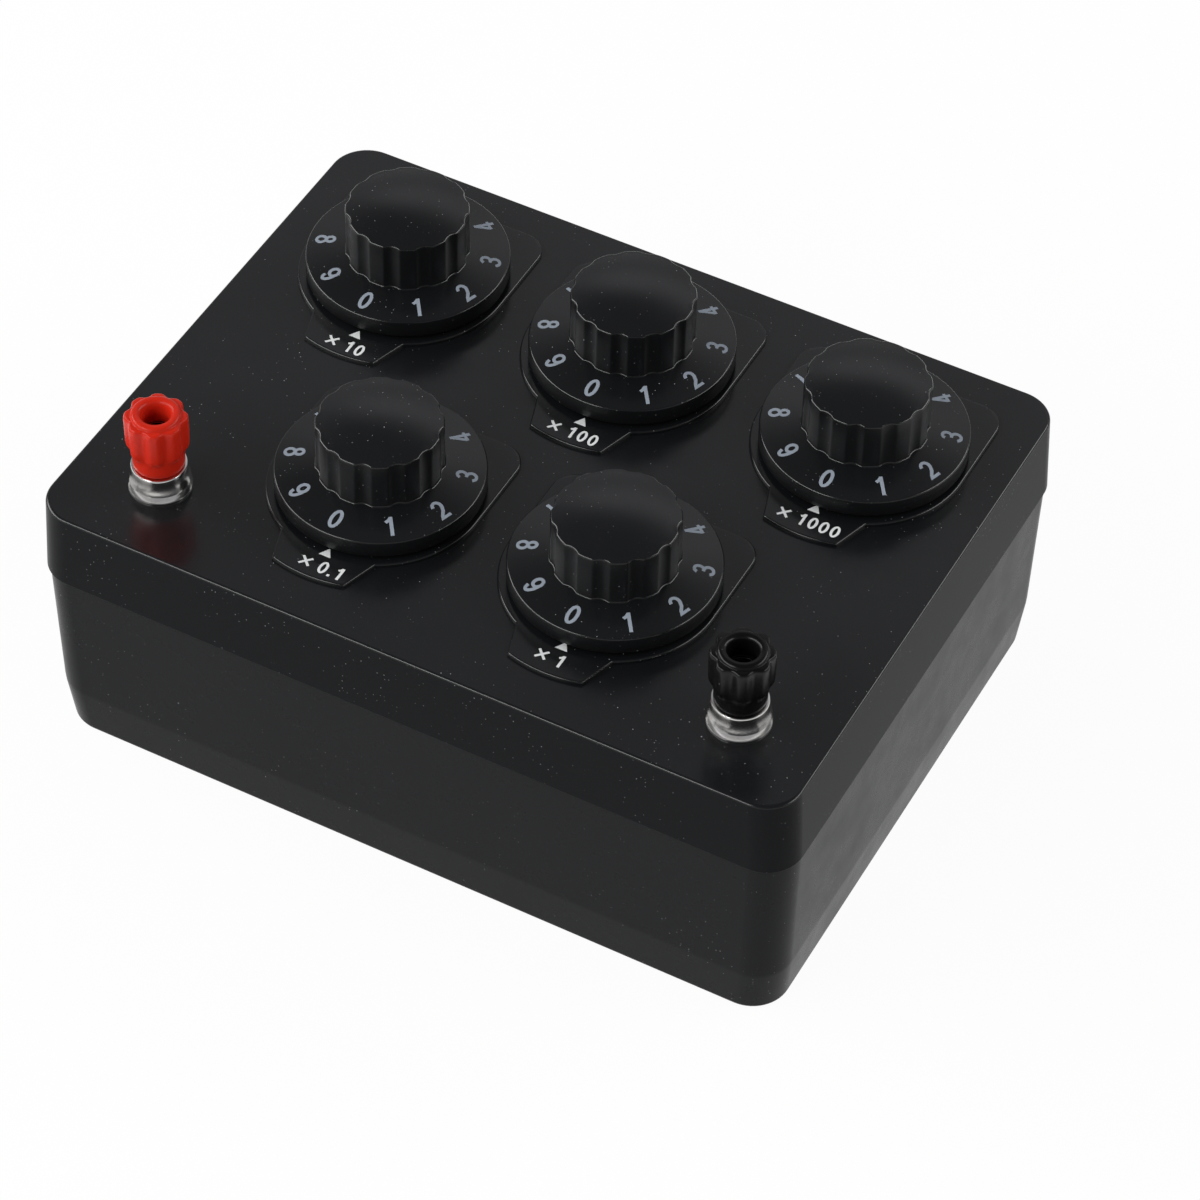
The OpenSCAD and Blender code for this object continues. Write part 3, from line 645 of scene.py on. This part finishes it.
def plate_outline():
    root = on_line(PLATE_R)
    end = on_line(TAB_REACH)
    root_deg = math.degrees(math.atan2(root[1], root[0]))
    end_deg = math.degrees(math.atan2(end[1], end[0]))
    side = PLATE_R - PLATE_CORNER
    back = PLATE_BACK - PLATE_CORNER
    points = arc(0, 0, PLATE_R, root_deg, 0, PLATE_STEPS)
    points += arc(side, back, PLATE_CORNER, 0, 90, CORNER_STEPS)
    points += arc(-side, back, PLATE_CORNER, 90, 180, CORNER_STEPS)
    points += arc(0, 0, PLATE_R, 180, 180 - root_deg, PLATE_STEPS)
    points += arc(0, 0, TAB_REACH, -180 - end_deg, end_deg, TAB_STEPS)
    return points


def inset_outline(points, distance):
    made = []
    count = len(points)
    for i in range(count):
        here = Vector(points[i])
        one = (here - Vector(points[i - 1])).normalized()
        two = (Vector(points[(i + 1) % count]) - here).normalized()
        normal, share = mitre(one, two, LEAST_OUTLINE_MITRE)
        made.append(tuple(here + normal * distance / share))
    return made


def make_plate(name, at, axis):
    outline = plate_outline()
    rings = [[(x, y, 0.0) for x, y in outline]]
    for inset, drop in rounding(PLATE_ROUND, range(0, 91, 15)):
        rings.append([(x, y, PLATE_T - drop) for x, y in inset_outline(outline, inset)])
    hole = arc(axis.x - at.x, axis.y - at.y, BUSH_HOLE, 0, 360, PLATE_STEPS)[:-1]
    bm = bmesh.new()
    rows = [[bm.verts.new(p) for p in ring] for ring in rings]
    hole_low = [bm.verts.new((x, y, 0.0)) for x, y in hole]
    hole_high = [bm.verts.new((x, y, PLATE_T)) for x, y in hole]
    for low, high in (*zip(rows, rows[1:]), (hole_low, hole_high)):
        count = len(low)
        for i in range(count):
            j = (i + 1) % count
            bm.faces.new((low[i], low[j], high[j], high[i]))
    for outer, inner in ((rows[0], hole_low), (rows[-1], hole_high)):
        edges = []
        for loop in (outer, inner):
            for i in range(len(loop)):
                edges.append(bm.edges.get((loop[i], loop[(i + 1) % len(loop)])))
        bmesh.ops.triangle_fill(bm, use_beauty=True, edges=edges)
    bmesh.ops.recalc_face_normals(bm, faces=bm.faces)
    mesh = bpy.data.meshes.new(name)
    bm.to_mesh(mesh)
    bm.free()
    place = Matrix.Translation((at[0] * MM, at[1] * MM, COVER_Z * MM))
    mesh.transform(place @ Matrix.Scale(MM, 4))
    finish_mesh(mesh)
    return weigh_normals(link(bpy.data.objects.new(name, mesh)))


for decade in DECADES:
    plate = make_plate("plate_" + decade, PLATE_AT[decade], DIAL_AT[decade])
    dress(plate, "plate", "case", "plate_plastic", "dial_plate_" + decade)


# Knobs
FACE_H = 3.2
SKIRT_RISE = 1.2
GRIP_R = 10.4
GRIP_H = 8.7
DOME_H = 1.6
LOBES = 12
NOTCH_R = 2.8
NOTCH_DEPTH = 0.42
NOTCH_SOFT = 0.07
RIM_ROUND = 0.4
FOOT_FILLET = 0.3
EDGE_ROUND = 0.36
DOME_STEPS = 14
RIM_STEPS = 5
WALL_STEPS = 4
FILLET_STEPS = 4
EDGE_STEPS = 6
KNOB_SEGMENTS = 360
KNOB_SHARP_DEG = 50
RIM_H = FACE_H + SKIRT_RISE + GRIP_H
FACE_IN_R = GRIP_R - NOTCH_DEPTH - EDGE_ROUND
FACE_OUT_R = SKIRT_R - EDGE_ROUND
FACE_RADII = (11.3, 12.5, 14.0, 15.5, FACE_OUT_R)
UNDERSIDE = (
    (SKIRT_R, 0.2), (SKIRT_R - 0.06, 0.06), (SKIRT_R - 0.2, 0.0), (SKIRT_R - 1.4, 0.0),
    (SKIRT_R - 1.4, 1.6), (7.9, 1.6), (7.9, 0.0), (6.5, 0.0), (6.5, 1.75), (3.05, 1.75),
    (3.05, 10.95), (0.0, 10.95),
)


def face_height(radius):
    """Height of the skirt's sloping face above the skirt's foot."""
    return FACE_H + SKIRT_RISE * (FACE_OUT_R - radius) / (FACE_OUT_R - FACE_IN_R)


def dome_height(radius):
    return RIM_H + DOME_H * (1 - (radius / GRIP_R) ** 2)


def grip_radius(angle):
    """Radius of the grip at an angle: round lobes with a round groove milled between each two."""
    pitch = 360.0 / LOBES
    away = math.radians((math.degrees(angle) % pitch) - pitch / 2)
    mill = GRIP_R + NOTCH_R - NOTCH_DEPTH
    aside = mill * math.sin(away)
    if abs(aside) >= NOTCH_R:
        return GRIP_R
    over = GRIP_R - mill * math.cos(away) + math.sqrt(NOTCH_R ** 2 - aside ** 2)
    return GRIP_R - (over + math.hypot(over, NOTCH_SOFT)) / 2


def quarter(steps):
    """Degrees of a quarter turn in even steps, without its start."""
    return [90 * k / steps for k in range(1, steps + 1)]


def round_edge(radius, side, top, steps):
    """Points of an edge's round from its top to its side."""
    turns = [math.radians(a) for a in quarter(steps)]
    return [(side + radius * math.sin(a), top - radius * (1 - math.cos(a))) for a in turns]


def knob_column(angle):
    """Section of the knob at an angle, from the crown outwards and under."""
    grip = grip_radius(angle)
    flat = grip - RIM_ROUND
    top = dome_height(flat)
    foot = face_height(grip + FOOT_FILLET)
    wall_from = top - RIM_ROUND
    wall_by = foot + FOOT_FILLET - top + RIM_ROUND
    crown = [flat * k / DOME_STEPS for k in range(DOME_STEPS + 1)]
    column = [(radius, dome_height(radius)) for radius in crown]
    column += round_edge(RIM_ROUND, flat, top, RIM_STEPS)
    column += [(grip, wall_from + wall_by * k / WALL_STEPS) for k in range(1, WALL_STEPS + 1)]
    for out, rise in rounding(FOOT_FILLET, quarter(FILLET_STEPS)):
        column.append((grip + out, foot + rise))
    column += [(radius, face_height(radius)) for radius in FACE_RADII]
    column += round_edge(EDGE_ROUND, FACE_OUT_R, FACE_H, EDGE_STEPS)
    return column + list(UNDERSIDE)


def make_knob(name, at):
    parts = revolve(knob_column, at, KNOB_LOW.z, KNOB_SEGMENTS)
    return mesh_object(name, *parts, KNOB_SHARP_DEG)


for decade in DECADES:
    knob = make_knob("fluted_knob_" + decade, DIAL_AT[decade])
    dress(knob, "knob", decade + "_dial", "knob_plastic", "knob_" + decade)


# Numbers, drawn with strokes of even width in a box one unit high
SIX = [oval(0, 0.31, 0.18, 0.24, 180, -180), oval(0, 0.5, 0.18, 0.43, 195, 28)]
GLYPHS = {
    "0": [oval(0, 0.5, 0.18, 0.43, 0, 360, 40)],
    "1": [[(0.07, 0.0), (0.07, 1.0)], [(-0.15, 0.72), (-0.04, 0.8), (0.07, 0.95)]],
    "2": [oval(0, 0.69, 0.18, 0.24, 170, -28)
          + [(0.07, 0.38), (-0.1, 0.2), (-0.17, 0.07), (0.24, 0.07)]],
    "3": [oval(-0.01, 0.72, 0.165, 0.21, 160, -84) + [(-0.08, 0.51)],
          [(-0.08, 0.512)] + oval(-0.01, 0.29, 0.19, 0.22, 84, -162)],
    "4": [[(0.09, 0.0), (0.09, 1.0)], [(0.075, 0.92), (-0.19, 0.29)],
          [(-0.245, 0.265), (0.25, 0.265)]],
    "5": [[(0.2, 0.93), (-0.11, 0.93), (-0.155, 0.53)],
          [(-0.175, 0.47)] + oval(0, 0.32, 0.185, 0.25, 128, -160)],
    "6": SIX,
    "7": [[(-0.22, 0.93), (0.18, 0.93), (0.06, 0.66), (-0.02, 0.35), (-0.06, 0.0)]],
    "8": [oval(0, 0.735, 0.155, 0.195, 0, 360), oval(0, 0.295, 0.185, 0.225, 0, 360)],
    "9": [[(-x, 1 - y) for x, y in stroke] for stroke in SIX],
    ".": [[(0.0, 0.0), (0.0, 0.17)]],
    "x": [[(-0.29, 0.16), (0.29, 0.84)], [(-0.29, 0.84), (0.29, 0.16)]],
}
INK_T = 0.03
LAYER = 0.004
SINK = 0.01
STROKE_STEP = 0.12
LEAST_STROKE_MITRE = 0.45


def in_small_steps(points):
    """The same line with more points along its longer parts."""
    fine = [points[0]]
    for a, b in zip(points, points[1:]):
        parts = max(1, int(math.dist(a, b) / STROKE_STEP))
        for k in range(1, parts + 1):
            fine.append((a[0] + (b[0] - a[0]) * k / parts, a[1] + (b[1] - a[1]) * k / parts))
    return fine


def ribbon(points, width):
    """Pairs of edge points of an even stroke with mitred turns, and whether it is a loop."""
    fine = in_small_steps(points)
    loop = math.dist(fine[0], fine[-1]) < TINY
    if loop:
        fine = fine[:-1]
    pairs = []
    count = len(fine)
    for i, here in enumerate(fine):
        before = fine[i - 1] if i or loop else here
        after = fine[(i + 1) % count] if i + 1 < count or loop else here
        one = Vector((here[0] - before[0], here[1] - before[1]))
        two = Vector((after[0] - here[0], after[1] - here[1]))
        one = (one if one.length > TINY else two).normalized()
        two = (two if two.length > TINY else one).normalized()
        normal, share = mitre(one, two, LEAST_STROKE_MITRE)
        reach = width / 2 / share
        pairs.append(((here[0] + normal.x * reach, here[1] + normal.y * reach),
                      (here[0] - normal.x * reach, here[1] - normal.y * reach)))
    return pairs, loop


def stroke_solid(pairs, loop, place, verts, faces, lift):
    """Thin closed strip over pairs of edge points, laid out by place(u, v, height)."""
    start = len(verts)
    for pair in pairs:
        for u, v in pair:
            verts.append(place(u, v, 0.0))
            verts.append(place(u, v, INK_T + lift))
    count = len(pairs)
    for i in range(count if loop else count - 1):
        a = start + 4 * i
        b = start + 4 * ((i + 1) % count)
        faces.append((a + 1, a + 3, b + 3, b + 1))
        faces.append((a, b, b + 2, a + 2))
        faces.append((a, a + 1, b + 1, b))
        faces.append((a + 2, b + 2, b + 3, a + 3))
    if not loop:
        last = start + 4 * (count - 1)
        faces.append((start, start + 2, start + 3, start + 1))
        faces.append((last, last + 1, last + 3, last + 2))


def write(glyph, x, style, place, verts, faces):
    """One glyph with its middle at x, in a style of height, stroke and widening."""
    height, stroke, widen = style
    for k, points in enumerate(GLYPHS[glyph]):
        pairs, loop = ribbon(points, stroke)
        moved = []
        for pair in pairs:
            moved.append([(x + u * height * widen, (v - 0.5) * height) for u, v in pair])
        stroke_solid(moved, loop, place, verts, faces, k * LAYER)


NUMBER_R = 14.15
NUMBER_STYLE = 3.6, 0.147, 1.12
NUMBER_DEG = 36


def make_numbers(name, at):
    verts, faces = [], []
    for digit in range(10):
        turn = math.radians(-90 + NUMBER_DEG * digit)
        out = Vector((math.cos(turn), math.sin(turn)))
        along = Vector((-out.y, out.x))

        def place(u, v, height):
            spot = out * (NUMBER_R - v) + along * u
            level = KNOB_LOW.z + face_height(spot.length) - SINK + height
            return (at[0] + spot.x, at[1] + spot.y, level)

        write(str(digit), 0.0, NUMBER_STYLE, place, verts, faces)
    return mesh_object(name, verts, faces)


for decade in DECADES:
    numbers = make_numbers("numbers_" + decade, DIAL_AT[decade])
    dress(numbers, "number_ink", decade + "_dial", "knob_plastic")


# Pointer and multiplier on each plate, each printed a little off the middle
MARKS = {
    "tenths": {"pointer": (0.7, -18.2), "cross": (-1.35, -20.5), "number": "0.1"},
    "units": {"pointer": (0.45, -17.7), "cross": (-1.7, -19.95), "number": "1"},
    "tens": {"pointer": (0.8, -18.5), "cross": (-2.05, -20.85), "number": "10"},
    "hundreds": {"pointer": (0.6, -18.4), "cross": (-2.9, -20.6), "number": "100"},
    "thousands": {"pointer": (0.1, -17.65), "cross": (-3.95, -20.0), "number": "1000"},
}
POINTER_W = 2.15
POINTER_H = 1.8
MARK_STYLE = 2.6, 0.15, 1.15
CROSS_STEP = 3.2
DIGIT_STEP = 1.97
DOT_STEP = 1.45


def make_mark(name, at, mark):
    verts, faces = [], []
    level = COVER_Z + PLATE_T - SINK
    cross_x, cross_y = mark["cross"]
    px, py = mark["pointer"]
    number = mark["number"]

    def place(u, v, height):
        return (at[0] + u, at[1] + cross_y + v, level + height)

    write("x", cross_x, MARK_STYLE, place, verts, faces)
    digit_x = cross_x + CROSS_STEP
    for k, glyph in enumerate(number):
        write(glyph, digit_x, MARK_STYLE, place, verts, faces)
        digit_x += DOT_STEP if "." in number[k:k + 2] else DIGIT_STEP
    corners = ((px - POINTER_W / 2, py), (px + POINTER_W / 2, py), (px, py + POINTER_H))
    foot = [(at[0] + x, at[1] + y, level) for x, y in corners]
    head = [(x, y, z + INK_T) for x, y, z in foot]
    return mesh_object(name, *join([(verts, faces), loft([foot, head])]))


for decade in DECADES:
    mark = make_mark("mark_" + decade, PLATE_AT[decade], MARKS[decade])
    dress(mark, "mark_ink", "case", "plate_plastic")


# Binding posts: collars by radius and height, caps also by the share of a notch that each point has
COLLAR_SEGMENTS = 96
COLLAR_SHARP_DEG = 35
COLLAR_PROFILE = (
    (2.9, 0.0), (5.12, 0.0), (5.21, 0.05), (5.25, 0.15), (5.24, 0.28), (5.17, 0.46), (5.06, 0.7),
    (4.94, 0.94), (4.84, 1.13), (4.76, 1.26), (4.7, 1.34), (4.66, 1.38), (4.76, 1.43), (5.0, 1.48),
    (5.07, 1.57), (5.04, 1.74), (4.96, 2.0), (4.87, 2.28), (4.78, 2.58), (4.71, 2.9), (4.67, 3.3),
    (4.65, 3.8), (4.65, 4.3), (4.63, 4.55), (4.59, 4.7), (4.52, 4.78), (4.42, 4.8), (3.75, 4.8),
    (3.75, 3.3), (2.9, 3.3), (2.9, 0.0),
)
CAP_LOBES = 8
CAP_NOTCH = 0.62
CAP_NOTCH_DEG = 18.5
CAP_TURN_DEG = 27.0
CAP_SEGMENTS = 192
CAP_SHARP_DEG = 50
CAP_PROFILE = (
    (3.1, 0.0, 0), (4.05, 0.0, 0), (4.18, 0.05, 0), (4.25, 0.18, 0), (4.25, 1.0, 0), (4.26, 1.9, 0),
    (4.3, 2.4, 0.05), (4.4, 2.8, 0.18), (4.57, 3.15, 0.4), (4.78, 3.48, 0.64), (4.96, 3.8, 0.84),
    (5.08, 4.15, 0.95), (5.14, 4.6, 1), (5.17, 5.4, 1), (5.19, 7.0, 1), (5.2, 8.6, 1), (5.2, 9.5, 1),
    (5.18, 9.8, 1), (5.11, 10.03, 1), (4.99, 10.18, 1), (4.83, 10.26, 1), (4.6, 10.29, 0.9),
    (4.35, 10.29, 0.5), (4.16, 10.31, 0.05), (4.07, 10.38, 0), (4.0, 10.55, 0), (3.86, 10.73, 0),
    (3.64, 10.86, 0), (3.34, 10.9, 0), (3.02, 10.87, 0), (2.74, 10.75, 0), (2.52, 10.5, 0),
    (2.38, 10.12, 0), (2.33, 9.6, 0), (2.33, 6.7, 0), (3.5, 6.6, 0), (3.5, 0.7, 0), (3.1, 0.6, 0),
    (3.1, 0.0, 0),
)


def make_collars():
    parts = [revolve(COLLAR_PROFILE, at, COVER_Z, COLLAR_SEGMENTS) for at in POST_AT.values()]
    return mesh_object("turned_collars", *join(parts), COLLAR_SHARP_DEG)


def cap_notch(angle):
    """Share of the notch's depth at an angle, 1 in the middle of a notch and 0 on a lobe."""
    pitch = 360.0 / CAP_LOBES
    away = abs(((math.degrees(angle) - CAP_TURN_DEG) % pitch) - pitch / 2)
    return 0.5 * (1 + math.cos(math.pi * min(1.0, away / CAP_NOTCH_DEG)))


def cap_column(angle):
    depth = CAP_NOTCH * cap_notch(angle)
    return [(radius - share * depth, height) for radius, height, share in CAP_PROFILE]


def make_cap(colour):
    low, _ = box_mm("post_cap_" + colour)
    parts = revolve(cap_column, POST_AT[colour], low.z, CAP_SEGMENTS)
    return mesh_object("lobed_cap_" + colour, *parts, CAP_SHARP_DEG)


dress(make_collars(), "nickel", "case", "nickel", "post_collars")
for colour in POSTS:
    dress(make_cap(colour), colour, colour + "_cap", colour + "_cap", "post_cap_" + colour)


# Pieces inside, as packed, with their own materials
INNER = {
    "switch_shaft": "brass",
    "switch_bush": "nickel",
    "switch_body": "phenolic",
    "switch_contacts": "brass",
    "contact_wafer": "laminate",
    "rotor": "nylon",
    "wiper": "bronze",
    "resistors": "lacquer",
    "bush_nuts": "nickel",
    "bush_washers": "nickel",
    "post_studs": "nickel",
    "post_insert": "brass",
    "post_tags": "nickel",
    "post_nuts": "nickel",
    "hookup_wires": "wire",
}
for name, node in NODES.items():
    for kind, material in INNER.items():
        if name.startswith(kind):
            node.data.materials.clear()
            node.data.materials.append(MATERIALS[material])


# Floor, a hair below the case so that the two faces never share a plane
FLOOR_HALF = 6000.0
FLOOR_GAP = 0.04
FLOOR_GREY = (0.9, 0.9, 0.9, 1.0)
FLOOR_ROUGH = 0.9
FLOOR_WHITE = (1.0, 1.0, 1.0, 1.0)
WHITE_SHARE = 0.95


def make_floor():
    """Sheet that takes light as pale grey and is seen nearly white, with a soft shadow left."""
    half, low = FLOOR_HALF, -FLOOR_GAP
    corners = [(-half, -half, low), (half, -half, low), (half, half, low), (-half, half, low)]
    floor = mesh_object("floor", corners, [(0, 1, 2, 3)])
    material, tree, shader = new_material("pale_floor")
    shader.inputs["Base Color"].default_value = FLOOR_GREY
    shader.inputs["Roughness"].default_value = FLOOR_ROUGH
    shader.inputs["Specular IOR Level"].default_value = 0.0
    white = add_node(tree, "ShaderNodeEmission", None, {"Color": FLOOR_WHITE, "Strength": 1.0})
    rays = add_node(tree, "ShaderNodeLightPath").outputs
    mirrored = larger(tree, rays["Is Glossy Ray"], rays["Is Transmission Ray"])
    seen = larger(tree, rays["Is Camera Ray"], mirrored)
    both = add_node(tree, "ShaderNodeMixShader")
    tree.links.new(spread(tree, seen, 0.0, 1.0, 0.0, WHITE_SHARE), both.inputs["Fac"])
    tree.links.new(shader.outputs["BSDF"], both.inputs[1])
    tree.links.new(white.outputs["Emission"], both.inputs[2])
    tree.links.new(both.outputs["Shader"], tree.nodes["Material Output"].inputs["Surface"])
    floor.data.materials.append(material)


make_floor()


# Lamps and room, in metres
LAMPS_AIM = Vector((0, 0, 0.03))
ROOM_LOW = (0.32, 0.32, 0.33)
ROOM_HIGH = (0.09, 0.09, 0.093)
BACKDROP = (0.6, 0.6, 0.62)
BACKDROP_TO = (0.1, 0.995, 0.0)


def soft_box(name, at, size, power):
    lamp = bpy.data.lights.new(name, "AREA")
    lamp.shape = "RECTANGLE"
    lamp.size, lamp.size_y = size
    lamp.energy = power
    obj = link(bpy.data.objects.new(name, lamp))
    obj.location = at
    obj.rotation_mode = "QUATERNION"
    obj.rotation_quaternion = (LAMPS_AIM - Vector(at)).to_track_quat("-Z", "Y")


def make_world():
    """Dim room with a pale backdrop behind the object, which the top face mirrors."""
    world = bpy.data.worlds.new("studio")
    bpy.context.scene.world = world
    world.use_nodes = True
    tree = world.node_tree
    back = tree.nodes["Background"]
    direction = coordinates(tree, "Generated")
    parts = add_node(tree, "ShaderNodeSeparateXYZ")
    tree.links.new(direction, parts.inputs["Vector"])
    behind = add_node(tree, "ShaderNodeVectorMath", {"operation": "DOT_PRODUCT"})
    behind.inputs[1].default_value = BACKDROP_TO
    tree.links.new(direction, behind.inputs[0])
    height = parts.outputs["Z"]
    upper = spread(tree, height, 0.3, 0.8, 0.0, 1.0, True)
    room = mix_colour(tree, upper, ROOM_LOW, ROOM_HIGH)
    rising = spread(tree, height, 0.35, 0.62, 0.0, 1.0, True)
    falling = spread(tree, height, 0.64, 0.84, 1.0, 0.12, True)
    share = spread(tree, behind.outputs["Value"], 0.35, 0.65, 0.0, 1.0, True)
    pale = multiply(tree, multiply(tree, rising, falling), share)
    tree.links.new(mix_colour(tree, pale, room, BACKDROP), back.inputs["Color"])
    back.inputs["Strength"].default_value = 1.0


soft_box("left_soft_box", (-1.08, -0.19, 0.75), (1.0, 0.45), 9.0)
soft_box("front_left_soft_box", (-0.53, -0.96, 0.78), (1.0, 0.45), 9.5)
soft_box("right_soft_box", (0.93, 0.58, 0.75), (1.4, 0.4), 8.5)
make_world()
bpy.context.scene.view_settings.view_transform = "Standard"

bpy.context.view_layer.update()
